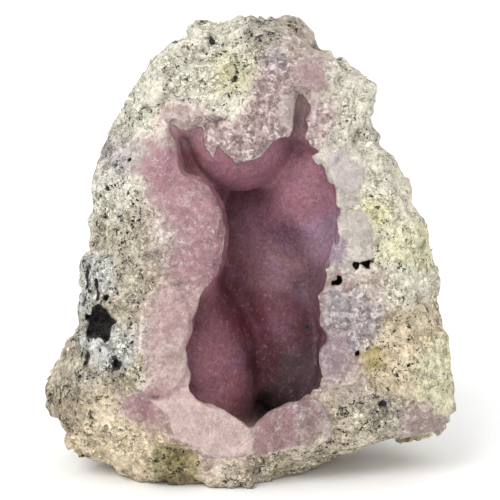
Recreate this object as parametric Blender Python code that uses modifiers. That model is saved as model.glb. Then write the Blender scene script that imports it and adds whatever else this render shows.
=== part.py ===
"""Smithsonite specimen: a porous host rock whose hollow is lined with a thick botryoidal crust.

Two solids are made, host_rock and smithsonite_crust. Both are modelled on the broken front
face: X runs to the right across it, Z up along it, and -Y out of it, with the origin near
its middle. A parent empty then leans the face back and stands the rock on its flat base.
Lengths are written in millimetres and turned into metres by MM.
"""

import math

import bmesh
import bpy
import numpy as np
from mathutils import Matrix, Vector, noise

MM = 0.001

# Driving dimensions of the rock, in millimetres on the broken face. Its back is deepest at the
# foot and shallowest at the top.
FACE_LEAN = math.radians(12)
FACE_ORIGIN = (0.15, -17.8, 48.44)
BASE_DROP = 48.4
RIM_DEPTH = 15.0
FRONT_BULGE = 16.0
LOWEST_UP, HIGHEST_UP = -45.0, 47.0
BACK_DEPTH_LOW, BACK_DEPTH_TOP = 33.0, 21.0
OUTLINE_CENTRE = (0.0, -3.0)
OUTLINE_POWER = 3.2
DEPTH_POWER = 2.4

# Outer edge of the rock seen from the front, clockwise from the top, (across, up).
OUTLINE = [
    (-2, 49.5), (9, 46), (14.6, 41), (22.6, 36.5), (24.2, 33), (24.4, 26), (29, 19.2),
    (34, 10), (36.6, 5), (37.4, -2), (39.6, -18), (42.2, -27), (42.2, -31), (41.4, -35.4),
    (38.6, -38.6), (30, -39.6), (20, -42.4), (10, -46.4), (0.6, -51.5), (-20, -49.5),
    (-29.4, -45.6), (-38, -41), (-41.8, -32),
    (-40.6, -27), (-36, -16), (-34.6, -4), (-32, 1), (-31.6, 10), (-30, 20), (-28, 26),
    (-20.6, 37.5), (-17, 42.8), (-11, 47.5),
]

# Rounded forms: (across, up, out), the half sizes along those axes, and a roll in degrees
# about the out axis.
FRONT_LOBES = {
    "top": ((-1.8, 24.0, -8.0), (10.6, 12.0, 9.6), 0),
    "top_left": ((-10.5, 28.0, -7.0), (7.0, 4.6, 7.5), 25),
    "left": ((-12.0, 3.0, -3.8), (7.8, 12.2, 8.0), 0),
    "left_smooth": ((-19.5, 17.0, -6.0), (5.8, 9.5, 7.0), 0),
    "left_strip": ((-18.2, -14.2, -1.5), (7.0, 8.6, 6.5), 0),
    "left_strip_end": ((-19.5, -24.4, -1.5), (7.0, 4.6, 6.5), 0),
    "bottom_left": ((-9.6, -36.4, -1.0), (11.4, 5.9, 5.5), -21),
    "bottom_right": ((8.4, -37.1, -1.0), (8.4, 6.4, 5.5), 14),
    "bottom_right_end": ((11.8, -35.8, -1.0), (3.8, 5.2, 4.6), 0),
    "right_low": ((19.0, -21.0, -1.5), (5.2, 6.2, 6.5), 0),
    "right_middle": ((21.2, -11.5, -1.5), (6.6, 5.8, 6.5), 0),
    "top_knob": ((12.2, 36.4, -6.0), (5.4, 4.8, 7.2), 0),
    "top_sliver": ((16.6, 25.0, -6.0), (3.6, 8.0, 7.2), -8),
}
INNER_LOBES = {
    "low_left": ((-10.2, -24.0, -16.4), (11.8, 18.4, 12.5), 5),
    "dome_foot": ((-10.2, -6.2, -8.5), (3.8, 5.4, 6.8), -12),
    "upper_right": ((14.8, 12.0, -19.5), (15.0, 17.0, 15.0), -6),
    "middle": ((0.0, 2.0, -27.0), (11.0, 20.0, 13.5), 0),
    "ridge": ((6.8, -9.0, -23.5), (8.6, 23.0, 13.5), 3),
    "right": ((18.0, -4.0, -17.0), (7.0, 13.0, 12.5), 0),
    "low_right": ((13.0, -25.0, -24.0), (12.0, 13.0, 12.5), 0),
}
HOLLOW = {
    "upper": ((4.5, 6.0, -4.0), (13.0, 17.0, 22.0), -8),
    "waist": ((6.6, -8.4, -4.0), (8.2, 7.6, 18.0), 0),
    "lower": ((0.4, -19.0, -4.0), (13.6, 16.0, 22.0), 0),
    "lower_right": ((6.2, -19.0, -4.0), (8.2, 14.5, 18.0), 0),
    "lower_left": ((-8.0, -25.4, -4.0), (5.6, 5.4, 16.0), 0),
    "slit": ((-11.4, 18.4, -2.8), (3.0, 9.0, 5.6), 27),
    "lip": ((-8.2, 21.4, 1.0), (7.8, 7.8, 6.5), 35),
    "notch": ((10.4, 26.6, 0.4), (1.9, 7.6, 3.9), -4),
    "notch_top": ((10.7, 31.0, 0.0), (1.8, 2.2, 2.8), 0),
    "pocket": ((3.0, -31.0, -8.0), (7.5, 5.8, 14.0), 0),
}
CAVITY = {
    "middle": ((2.0, -1.0, -8.0), (25.0, 31.0, 25.0), 0),
    "low": ((-5.0, -29.0, -6.0), (21.0, 12.5, 22.0), 0),
    "low_right": ((14.0, -25.0, -7.0), (15.0, 15.0, 20.0), 0),
    "top": ((9.0, 32.5, -6.0), (11.0, 11.5, 11.0), 0),
    "upper_left": ((-15.5, 19.0, -5.0), (10.0, 11.5, 13.0), 0),
}

# Pits in the rock's front, (across, up), radius and depth.
ROCK_PITS = [
    ((-30.0, -14.0), 3.6, 6.0),
    ((-28.8, -9.6), 1.8, 2.4),
    ((-26.5, 21.0), 2.6, 1.4),
    ((30.0, -32.0), 3.0, 1.6),
    ((26.0, -29.5), 2.4, 1.4),
]
# Pits broken into the crust's front, in the form of the lobes above.
CRUST_PITS = {
    "upper": ((22.6, -3.2, 0.0), (2.4, 1.1, 2.6), 10),
    "rim": ((17.8, -5.8, -1.0), (1.8, 1.4, 2.6), 0),
    "low": ((21.5, -20.5, 0.0), (1.2, 1.2, 2.4), 0),
    "corner": ((17.2, -32.6, 0.0), (1.6, 1.8, 2.4), 0),
}

# How far the broken lobes stand out of the rock's smooth form.
BREAK_HEIGHT = 0.7

# Bulges, lumps, ledges and grain of the rock: (wavelength, height). The bulges are on its back,
# and the ledges are parted by cracks, whose width is a share of a ledge's.
BULGES = (30.0, 4.5)
LUMPS = (13.0, 1.6)
LEDGES = (10.0, 2.2)
CRACKS = (0.14, 0.9)
GRAIN = (3.6, 0.4)

# The search for the rock's surface halves the way from the middle to this distance.
FARTHEST = 90.0
HALVINGS = 30

FIT_GAP = 0.3
FINE_VOXEL = 0.8
CAVITY_VOXEL = 1.6
ROCK_TRIANGLES = 5000
CRUST_TRIANGLES = 12000
CAVITY_TRIANGLES = 900


def clear_scene():
    for found in list(bpy.data.objects):
        bpy.data.objects.remove(found)


def add_collection(name):
    collection = bpy.data.collections.new(name)
    bpy.context.scene.collection.children.link(collection)
    return collection


def add_material(name, colour, roughness):
    material = bpy.data.materials.new(name)
    material.use_nodes = True
    shader = material.node_tree.nodes["Principled BSDF"]
    shader.inputs["Base Color"].default_value = (*colour, 1.0)
    shader.inputs["Roughness"].default_value = roughness
    shader.inputs["Metallic"].default_value = 0.0
    material.diffuse_color = (*colour, 1.0)
    return material


def add_object(name, mesh, collection, parent):
    made = bpy.data.objects.new(name, mesh)
    made.parent = parent
    collection.objects.link(made)
    return made


def add_helper(name, mesh, collection, parent):
    """An object that only shapes the two solids."""
    made = add_object(name, mesh, collection, parent)
    made.hide_render = True
    made.display_type = "WIRE"
    return made


def face_point(across, up, out):
    return Vector((across, -out, up)) * MM


def outline_radius(angles):
    """Distance from the outline's centre to the outline, at each angle."""
    corners = np.array(OUTLINE, float) - OUTLINE_CENTRE
    steps = np.linspace(0, 1, 16, endpoint=False)[:, None, None]
    edges = corners + steps * (np.roll(corners, -1, axis=0) - corners)
    edges = edges.reshape(-1, 2)
    turn = np.arctan2(edges[:, 1], edges[:, 0])
    order = np.argsort(turn)
    reach = np.hypot(edges[:, 0], edges[:, 1])[order]
    return np.interp(angles, turn[order], reach, period=2 * math.pi)


def rock_reach(directions):
    """How far the smooth rock reaches along each direction (across, up, out)."""
    sideways = np.hypot(directions[:, 0], directions[:, 1])
    radius = outline_radius(np.arctan2(directions[:, 1], directions[:, 0]))
    low, high = np.zeros(len(directions)), np.full(len(directions), FARTHEST)
    for _ in range(HALVINGS):
        middle = (low + high) / 2
        height = OUTLINE_CENTRE[1] + middle * directions[:, 1]
        rise = np.clip((height - LOWEST_UP) / (HIGHEST_UP - LOWEST_UP), 0, 1)
        back = BACK_DEPTH_LOW + (BACK_DEPTH_TOP - BACK_DEPTH_LOW) * rise
        depth = np.where(directions[:, 2] > 0, FRONT_BULGE, back)
        size = (middle * sideways / radius) ** OUTLINE_POWER
        size += (middle * np.abs(directions[:, 2]) / depth) ** DEPTH_POWER
        low = np.where(size < 1, middle, low)
        high = np.where(size < 1, high, middle)
    return low


def roughness_at(point):
    """How far the rock's roughness stands out at a point in millimetres."""
    behind = min(max((point.y - RIM_DEPTH) / RIM_DEPTH, 0), 1)
    bulge = noise.noise(point / BULGES[0] + Vector((0.6, 4.2, 8.1))) * BULGES[1] * behind
    lump = noise.fractal(point / LUMPS[0], 1.0, 2.0, 3) * LUMPS[1]
    distances, blocks = noise.voronoi(point / LEDGES[0] + Vector((3.1, 7.7, 1.9)))
    ledge = noise.noise(blocks[0] * 5.3) * LEDGES[1]
    crack = max(0.0, 1 - (distances[1] - distances[0]) / CRACKS[0]) * CRACKS[1]
    grain = noise.noise(point / GRAIN[0]) * GRAIN[1]
    return bulge + lump + ledge - crack + grain


def pit_depth(point):
    """Depth of the pits at a point on the rock's front."""
    depth = 0.0
    for (across, up), radius, deep in ROCK_PITS:
        distance = math.hypot(point.x - across, point.z - up) / radius
        if point.y < RIM_DEPTH and distance < 1:
            depth += deep * (1 - distance * distance)
    return depth


def roughen(body):
    """Gives the smooth rock its lumps, ledges and pits."""
    pushes = [vert.normal * roughness_at(vert.co) for vert in body.verts]
    for vert, push in zip(body.verts, pushes):
        pit = pit_depth(vert.co)
        vert.co += push + Vector((0, pit, 0))


def rock_body_mesh(name, rough=True):
    """A sphere shaped into the whole rock, before its hollow is cut."""
    body = bmesh.new()
    bmesh.ops.create_icosphere(body, subdivisions=6, radius=1.0)
    ways = np.array([(vert.co.x, vert.co.z, -vert.co.y) for vert in body.verts])
    ways /= np.linalg.norm(ways, axis=1)[:, None]
    spots = ways * rock_reach(ways)[:, None]
    for vert, (across, up, out) in zip(body.verts, spots):
        middle = (OUTLINE_CENTRE[0], OUTLINE_CENTRE[1], -RIM_DEPTH)
        vert.co = Vector((across + middle[0], -out - middle[2], up + middle[1]))
    body.normal_update()
    if rough:
        roughen(body)
    flat = Vector((0, -math.sin(FACE_LEAN), math.cos(FACE_LEAN)))
    cut = bmesh.ops.bisect_plane(
        body,
        geom=body.verts[:] + body.edges[:] + body.faces[:],
        plane_co=flat * -BASE_DROP,
        plane_no=flat,
        clear_inner=True,
    )
    rim = [item for item in cut["geom_cut"] if isinstance(item, bmesh.types.BMEdge)]
    bmesh.ops.contextual_create(body, geom=rim)
    bmesh.ops.scale(body, vec=(MM, MM, MM), verts=body.verts)
    mesh = bpy.data.meshes.new(name)
    body.to_mesh(mesh)
    body.free()
    mesh.shade_smooth()
    return mesh


def lobes_mesh(name, lobes):
    """One sphere for each rounded form, still overlapping."""
    cluster = bmesh.new()
    for centre, (across, up, out), roll in lobes.values():
        place = Matrix.Translation(face_point(*centre))
        turn = Matrix.Rotation(math.radians(-roll), 4, "Y")
        size = Matrix.Diagonal((across * MM, out * MM, up * MM, 1))
        bmesh.ops.create_uvsphere(
            cluster, u_segments=32, v_segments=20, radius=1.0, matrix=place @ turn @ size
        )
    mesh = bpy.data.meshes.new(name)
    cluster.to_mesh(mesh)
    cluster.free()
    return mesh


def add_remesh(target, voxel, passes):
    """Joins overlapping forms into one skin and softens the creases between them."""
    remesh = target.modifiers.new("Join", "REMESH")
    remesh.mode = "VOXEL"
    remesh.voxel_size = voxel * MM
    remesh.use_smooth_shade = True
    soften = target.modifiers.new("Soften", "SMOOTH")
    soften.factor = 0.5
    soften.iterations = passes


def add_boolean(target, name, operation, other):
    boolean = target.modifiers.new(name, "BOOLEAN")
    boolean.operation = operation
    boolean.solver = "EXACT"
    boolean.object = other


def add_decimate(target, triangles):
    """Thins the mesh as it stands to about this many triangles."""
    graph = bpy.context.evaluated_depsgraph_get()
    mesh = target.evaluated_get(graph).to_mesh()
    mesh.calc_loop_triangles()
    found = len(mesh.loop_triangles)
    target.evaluated_get(graph).to_mesh_clear()
    thin = target.modifiers.new("Thin", "DECIMATE")
    thin.ratio = min(1.0, triangles / found)
    thin.use_collapse_triangulate = True


def piece_of(face, seen):
    """All the faces joined to this one through shared edges."""
    piece, waiting = [], [face]
    seen.add(face)
    while waiting:
        found = waiting.pop()
        piece.append(found)
        for edge in found.edges:
            for near in edge.link_faces:
                if near not in seen:
                    seen.add(near)
                    waiting.append(near)
    return piece


def keep_largest_piece(target):
    """Applies the modifiers, and drops every skin but the largest."""
    graph = bpy.context.evaluated_depsgraph_get()
    mesh = bpy.data.meshes.new_from_object(target.evaluated_get(graph))
    target.modifiers.clear()
    shape = bmesh.new()
    shape.from_mesh(mesh)
    seen, pieces = set(), []
    for face in shape.faces:
        if face not in seen:
            pieces.append(piece_of(face, seen))
    pieces.sort(key=len)
    extra = [face for piece in pieces[:-1] for face in piece]
    bmesh.ops.delete(shape, geom=extra, context="FACES")
    shape.to_mesh(mesh)
    shape.free()
    target.data = mesh


def add_break_cap(collection, parent):
    """The surface that the protruding lobes are broken along, a little outside the rock."""
    cap = add_helper("break_cap", rock_body_mesh("break_cap", rough=False), collection, parent)
    grow = cap.modifiers.new("Height", "DISPLACE")
    grow.mid_level = 0.0
    grow.strength = BREAK_HEIGHT * MM
    return cap


def add_cavity(name, collection, parent):
    """The space in the rock that the crust fills."""
    cavity = add_helper(name, lobes_mesh(name, CAVITY), collection, parent)
    add_remesh(cavity, CAVITY_VOXEL, 4)
    add_decimate(cavity, CAVITY_TRIANGLES)
    return cavity


def build_host_rock(parts, helpers, parent):
    space = add_cavity("cavity_with_gap", helpers, parent)
    grow = space.modifiers.new("Gap", "DISPLACE")
    grow.mid_level = 0.0
    grow.strength = FIT_GAP * MM
    rock = add_object("host_rock", rock_body_mesh("host_rock"), parts, parent)
    add_decimate(rock, ROCK_TRIANGLES)
    add_boolean(rock, "Hollow", "DIFFERENCE", space)
    rock.data.materials.append(add_material("porous_matrix", (0.58, 0.53, 0.40), 0.9))


def build_crust(parts, helpers, parent):
    lobes = add_helper("front_lobes", lobes_mesh("front_lobes", FRONT_LOBES), helpers, parent)
    add_remesh(lobes, FINE_VOXEL, 3)
    add_boolean(lobes, "Break", "INTERSECT", add_break_cap(helpers, parent))
    walls = {**FRONT_LOBES, **INNER_LOBES}
    inner = add_helper("wall_lobes", lobes_mesh("wall_lobes", walls), helpers, parent)
    add_remesh(inner, FINE_VOXEL, 14)
    hollow = add_helper("hollow", lobes_mesh("hollow", HOLLOW), helpers, parent)
    add_remesh(hollow, FINE_VOXEL, 6)
    add_boolean(hollow, "Walls", "DIFFERENCE", inner)
    keep_largest_piece(hollow)
    pits = add_helper("crust_pits", lobes_mesh("crust_pits", CRUST_PITS), helpers, parent)
    crust = add_object("smithsonite_crust", rock_body_mesh("crust"), parts, parent)
    add_boolean(crust, "Lobes", "UNION", lobes)
    add_boolean(crust, "Open", "DIFFERENCE", hollow)
    add_boolean(crust, "Pits", "DIFFERENCE", pits)
    add_remesh(crust, FINE_VOXEL, 2)
    keep_largest_piece(crust)
    add_decimate(crust, CRUST_TRIANGLES)
    add_boolean(crust, "Fit", "INTERSECT", add_cavity("cavity", helpers, parent))
    crust.data.materials.append(add_material("pink_smithsonite", (0.50, 0.25, 0.28), 0.45))


def main():
    clear_scene()
    parts = add_collection("smithsonite_specimen")
    helpers = add_collection("cutters")
    stand = bpy.data.objects.new("stand", None)
    parts.objects.link(stand)
    stand.location = Vector(FACE_ORIGIN) * MM
    stand.rotation_euler.x = -FACE_LEAN
    build_crust(parts, helpers, stand)
    build_host_rock(parts, helpers, stand)


main()
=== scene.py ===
"""The looks of the smithsonite specimen: a porous rock whose hollow is lined with pink crust.

Both pieces are shaped as distance fields on a grid laid over the broken front face, from the
same named forms as the solids, and then turned into meshes. They share one broken surface, so
nothing shows where they meet. A place on the face is (across, up, out), in millimetres from
the middle of the face, and out points to the viewer.
"""

import math
from collections import namedtuple

import bpy
import numpy as np
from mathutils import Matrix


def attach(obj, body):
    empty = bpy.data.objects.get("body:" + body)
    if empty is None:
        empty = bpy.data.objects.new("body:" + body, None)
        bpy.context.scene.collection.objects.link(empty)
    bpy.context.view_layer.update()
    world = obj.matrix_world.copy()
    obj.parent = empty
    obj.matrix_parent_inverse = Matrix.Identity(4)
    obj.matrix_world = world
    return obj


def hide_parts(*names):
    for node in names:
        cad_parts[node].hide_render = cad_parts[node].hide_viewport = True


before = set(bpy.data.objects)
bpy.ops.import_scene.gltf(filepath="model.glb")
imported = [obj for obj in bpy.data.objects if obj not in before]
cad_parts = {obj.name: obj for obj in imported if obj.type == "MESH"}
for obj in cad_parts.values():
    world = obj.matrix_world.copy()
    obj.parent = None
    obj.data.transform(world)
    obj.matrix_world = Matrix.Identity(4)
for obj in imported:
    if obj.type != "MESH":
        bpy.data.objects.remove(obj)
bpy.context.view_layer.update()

import openvdb
from mathutils import Matrix, Vector, noise

MM = 0.001
FACE_LEAN = math.radians(12)
FACE_ORIGIN = (0.15, -17.8, 48.44)
BASE_DROP = 48.4

RIM_DEPTH = 15.0
FRONT_BULGE = 16.0
LOWEST_UP, HIGHEST_UP = -45.0, 47.0
BACK_DEPTH_LOW, BACK_DEPTH_TOP = 33.0, 21.0
OUTLINE_CENTRE = (0.0, -3.0)
OUTLINE_POWER = 3.2
DEPTH_POWER = 2.4
BODY_POWER = 2.8
BREAK_HEIGHT = 0.7

# Outer edge of the rock seen from the front, clockwise from the top, (across, up).
OUTLINE = [
    (-2, 49.5), (9, 46), (14.6, 41), (22.6, 36.5), (24.2, 33), (24.4, 26), (29, 19.2),
    (34, 10), (36.6, 5), (37.4, -2), (39.6, -18), (42.2, -27), (42.2, -31), (41.4, -35.4),
    (38.6, -38.6), (30, -39.6), (20, -42.4), (10, -46.4), (0.6, -51.5), (-20, -49.5),
    (-29.4, -45.6), (-38, -41), (-41.8, -32),
    (-40.6, -27), (-36, -16), (-34.6, -4), (-32, 1), (-31.6, 10), (-30, 20), (-28, 26),
    (-20.6, 37.5), (-17, 42.8), (-11, 47.5),
]

# Rounded forms: (across, up, out), the half sizes along those axes, and a roll in degrees.
FRONT_LOBES = {
    "top": ((-1.8, 24.0, -8.0), (10.6, 12.0, 9.6), 0),
    "top_left": ((-10.5, 28.0, -7.0), (7.0, 4.6, 7.5), 25),
    "left": ((-12.0, 3.0, -3.8), (7.8, 12.2, 8.0), 0),
    "left_smooth": ((-19.5, 17.0, -6.0), (5.8, 9.5, 7.0), 0),
    "left_strip": ((-18.2, -14.2, -1.5), (7.0, 8.6, 6.5), 0),
    "left_strip_end": ((-19.5, -24.4, -1.5), (7.0, 4.6, 6.5), 0),
    "bottom_left": ((-9.6, -36.4, -1.0), (11.4, 5.9, 5.5), -21),
    "bottom_right": ((8.4, -37.1, -1.0), (8.4, 6.4, 5.5), 14),
    "bottom_right_end": ((11.8, -35.8, -1.0), (3.8, 5.2, 4.6), 0),
    "right_low": ((19.0, -21.0, -1.5), (5.2, 6.2, 6.5), 0),
    "right_middle": ((21.2, -11.5, -1.5), (6.6, 5.8, 6.5), 0),
    "top_knob": ((12.2, 36.4, -6.0), (5.4, 4.8, 7.2), 0),
    "top_sliver": ((16.6, 25.0, -6.0), (3.6, 8.0, 7.2), -8),
}
INNER_LOBES = {
    "low_left": ((-10.2, -24.0, -16.4), (11.8, 18.4, 12.5), 5),
    "dome_foot": ((-10.2, -6.2, -8.5), (3.8, 5.4, 6.8), -12),
    "upper_right": ((14.8, 12.0, -19.5), (15.0, 17.0, 15.0), -6),
    "middle": ((0.0, 2.0, -27.0), (11.0, 20.0, 13.5), 0),
    "ridge": ((6.8, -9.0, -23.5), (8.6, 23.0, 13.5), 3),
    "right": ((18.0, -4.0, -17.0), (7.0, 13.0, 12.5), 0),
    "low_right": ((13.0, -25.0, -24.0), (12.0, 13.0, 12.5), 0),
}
HOLLOW = {
    "upper": ((4.5, 6.0, -4.0), (13.0, 17.0, 22.0), -8),
    "waist": ((6.6, -8.4, -4.0), (8.2, 7.6, 18.0), 0),
    "lower": ((0.4, -19.0, -4.0), (13.6, 16.0, 22.0), 0),
    "lower_right": ((6.2, -19.0, -4.0), (8.2, 14.5, 18.0), 0),
    "lower_left": ((-8.0, -25.4, -4.0), (5.6, 5.4, 16.0), 0),
    "slit": ((-11.4, 18.4, -2.8), (3.0, 9.0, 5.6), 27),
    "lip": ((-8.2, 21.4, 1.0), (7.8, 7.8, 6.5), 35),
    "notch": ((10.4, 26.6, 0.4), (1.9, 7.6, 3.9), -4),
    "notch_top": ((10.7, 31.0, 0.0), (1.8, 2.2, 2.8), 0),
    "pocket": ((3.0, -31.0, -8.0), (7.5, 5.8, 14.0), 0),
}
CAVITY = {
    "middle": ((2.0, -1.0, -8.0), (25.0, 31.0, 25.0), 0),
    "low": ((-5.0, -29.0, -6.0), (21.0, 12.5, 22.0), 0),
    "low_right": ((14.0, -25.0, -7.0), (15.0, 15.0, 20.0), 0),
    "top": ((9.0, 32.5, -6.0), (11.0, 11.5, 11.0), 0),
    "upper_left": ((-15.5, 19.0, -5.0), (10.0, 11.5, 13.0), 0),
}

# Pits and cracks in the broken front.
PITS = {
    "star": ((-30.4, -14.4, -3.2), (2.7, 3.0, 5.0), 0),
    "star_right": ((-28.0, -14.6, -2.4), (1.5, 0.9, 3.0), 12),
    "star_low_right": ((-29.2, -17.2, -2.4), (1.3, 0.8, 3.0), -50),
    "star_low_left": ((-32.6, -16.6, -4.2), (1.1, 0.5, 3.4), 25),
    "star_left": ((-32.8, -13.6, -5.0), (1.2, 0.5, 3.6), -15),
    "star_top": ((-30.4, -11.8, -3.4), (0.9, 0.9, 3.2), -8),
    "star_arm": ((-28.0, -10.6, -3.2), (0.5, 1.4, 2.4), 24),
    "left_hole": ((-29.0, 13.0, -4.4), (0.35, 0.6, 1.6), 25),
    "beside_grey": ((-24.4, 18.2, -2.6), (0.7, 0.25, 1.4), 35),
    "plate_hole": ((22.4, -2.6, -0.4), (1.9, 0.3, 2.6), 8),
    "plate_hole_left": ((21.4, -3.4, -0.4), (0.4, 1.1, 2.4), 10),
    "plate_hole_right": ((23.6, -3.4, -0.4), (0.5, 0.9, 2.4), -25),
    "rim_hole": ((17.6, -5.4, 0.0), (0.75, 0.4, 2.8), -30),
    "rim_hole_low": ((17.2, -6.4, 0.0), (1.3, 0.35, 2.4), 12),
    "ochre_hole": ((21.5, -20.5, 1.0), (0.55, 0.55, 2.4), 0),
    "low_grey_hole": ((27.0, -31.0, -2.8), (0.8, 0.25, 1.4), -20),
    "top_hole": ((-7.6, 42.6, -7.2), (0.2, 0.6, 1.6), 20),
    "ochre_dot": ((-21.8, 31.0, -7.0), (0.4, 0.5, 1.6), 0),
    "top_groove": ((-3.2, 34.4, -2.2), (0.15, 1.6, 1.4), -8),
    "left_crack": ((-33.0, -5.8, -9.0), (0.2, 3.4, 1.6), 6),
    "left_crack_inner": ((-31.2, -6.5, -5.0), (0.15, 2.2, 1.3), 4),
    "edge_crack": ((-33.4, -10.4, -8.0), (0.25, 1.4, 1.8), -12),
    "block_across": ((-33.0, -21.0, -4.2), (4.2, 0.12, 1.2), -6),
    "block_down": ((-33.0, -23.0, -3.4), (0.12, 4.6, 1.2), 6),
    "block_slant": ((-33.6, -25.2, -4.2), (3.8, 0.12, 1.1), 14),
    "block_ring": ((-31.0, -19.6, -3.6), (3.0, 0.12, 1.2), -38),
    "inner_hole": ((11.7, -16.0, -9.5), (0.55, 0.3, 2.2), 25),
}

# The rock's roughness, as in the solids: (wavelength, height).
BULGES = (30.0, 4.5)
LUMPS = (13.0, 1.6)
LEDGES = (10.0, 2.2)
CRACKS = (0.14, 0.9)
GRAIN = (3.6, 0.4)

# What the broken surface can be: screen colour, share of crust, coarseness.
LOOKS = {
    "cream": ((254, 248, 230), 0.0, 0.9),
    "peppered": ((254, 250, 232), 0.0, 1.3),
    "white": ((234, 234, 230), 0.0, 1.6),
    "pepper_green": ((244, 236, 180), 0.0, 1.5),
    "yellow_green": ((252, 246, 206), 0.0, 1.0),
    "speckled": ((224, 212, 190), 0.0, 1.7),
    "grey": ((224, 214, 200), 0.0, 1.8),
    "ochre": ((250, 230, 196), 0.0, 1.1),
    "bright_ochre": ((226, 206, 132), 0.0, 0.9),
    "tan": ((250, 236, 210), 0.0, 1.6),
    "brown": ((200, 182, 158), 0.0, 1.8),
    "moss": ((186, 174, 118), 0.0, 1.7),
    "faded": ((206, 190, 178), 0.5, 1.0),
    "plate": ((214, 204, 193), 0.85, 0.30),
    "pale_pink": ((206, 172, 168), 1.0, 0.25),
    "rose": ((182, 138, 145), 1.0, 0.20),
    "dark_rose": ((156, 110, 118), 1.0, 0.1),
    "smooth_rose": ((184, 137, 146), 1.0, 0.0),
    "granular": ((196, 168, 164), 1.0, 1.0),
    "dull_lavender": ((206, 196, 198), 0.4, 1.7),
    "lavender": ((180, 166, 168), 1.0, 1.0),
    "dusty": ((182, 158, 152), 0.9, 0.5),
}
# Where each look lies on the face: (across, up), radius, look.
FACE = {
    "top_cream": ((-12, 37), 11, "peppered"),
    "top_green": ((-4.6, 34), 4.4, "pepper_green"),
    "top_dip": ((-4, 30), 4, "cream"),
    "upper_left": ((-22, 29), 8, "peppered"),
    "top_grey": ((2.4, 43), 4, "grey"),
    "top_lavender": ((4, 38.6), 3.5, "lavender"),
    "top_faded": ((12, 41), 6, "faded"),
    "knob": ((12.2, 35.8), 4.2, "dusty"),
    "beside_knob": ((5.5, 33), 4, "granular"),
    "upper_right": ((19.5, 34), 6, "cream"),
    "sliver": ((15.5, 27), 3.6, "granular"),
    "right_of_sliver": ((21, 24), 5, "cream"),
    "upper_plate": ((18.6, 14.6), 4.6, "plate"),
    "lower_plate": ((20.2, 3.0), 5.4, "plate"),
    "plate_side": ((26, 8), 4, "pepper_green"),
    "right_cream": ((30, 11), 8, "cream"),
    "right_green": ((33, 2), 7, "yellow_green"),
    "right_inner": ((25, -7), 3.6, "faded"),
    "right_lower": ((31, -8), 6, "cream"),
    "grains": ((22, -13.6), 5.4, "lavender"),
    "grain_rim": ((17.4, -9.4), 3.4, "dusty"),
    "ochre_side": ((31, -15), 6, "ochre"),
    "ochre_low": ((29, -23), 6, "ochre"),
    "ochre_spot": ((24.4, -21.4), 2.2, "bright_ochre"),
    "hole_ring": ((21.4, -19.4), 2.2, "lavender"),
    "low_lobe": ((16.6, -21.5), 4.0, "dusty"),
    "below_lobe": ((19, -27), 3.6, "faded"),
    "low_grey": ((27, -32.5), 5.5, "grey"),
    "right_edge": ((38.5, -24), 5.5, "yellow_green"),
    "pink_corner": ((34, -36), 4.5, "dusty"),
    "low_right": ((19, -36), 5.5, "tan"),
    "right_foot": ((27, -41), 6, "tan"),
    "right_petal": ((7.4, -34.6), 5.4, "dusty"),
    "right_petal_end": ((14.2, -35.4), 3.2, "dusty"),
    "foot": ((4, -44.5), 7, "tan"),
    "left_petal": ((-9, -34), 7.6, "pale_pink"),
    "left_petal_tip": ((-1, -38), 4, "pale_pink"),
    "mossy": ((-14, -41), 4.4, "moss"),
    "pink_patch": ((-21.6, -31), 4, "rose"),
    "strip_low": ((-16, -24), 5, "pale_pink"),
    "strip_high": ((-15.6, -14), 5.6, "pale_pink"),
    "left_dome": ((-10.4, 3), 7.4, "rose"),
    "dome_rim": ((-5.4, 3), 2.4, "dark_rose"),
    "dome_rim_low": ((-7.0, -4), 2.0, "dark_rose"),
    "dome_side": ((-18, 3), 4.0, "faded"),
    "smooth_dome": ((-18, 17), 5.8, "smooth_rose"),
    "dome_fringe": ((-22.8, 20), 2.8, "plate"),
    "fold": ((-15, 26), 4, "pale_pink"),
    "top_lobe_left": ((-7, 23), 5.6, "granular"),
    "top_lobe_right": ((3.5, 24), 6.0, "granular"),
    "left_cream": ((-28, 12), 5.5, "peppered"),
    "left_grey": ((-26.6, 20), 4.4, "dull_lavender"),
    "left_middle": ((-25, 1), 6, "speckled"),
    "left_edge": ((-33, -5), 4.4, "white"),
    "beside_star": ((-24, -10), 4.4, "speckled"),
    "below_star": ((-29, -20), 5, "white"),
    "left_low": ((-35, -24), 5, "speckled"),
    "left_brown": ((-37, -31), 4, "brown"),
    "left_foot": ((-28, -37), 7, "ochre"),
    "left_tan": ((-24, -26), 3.6, "speckled"),
}
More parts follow.
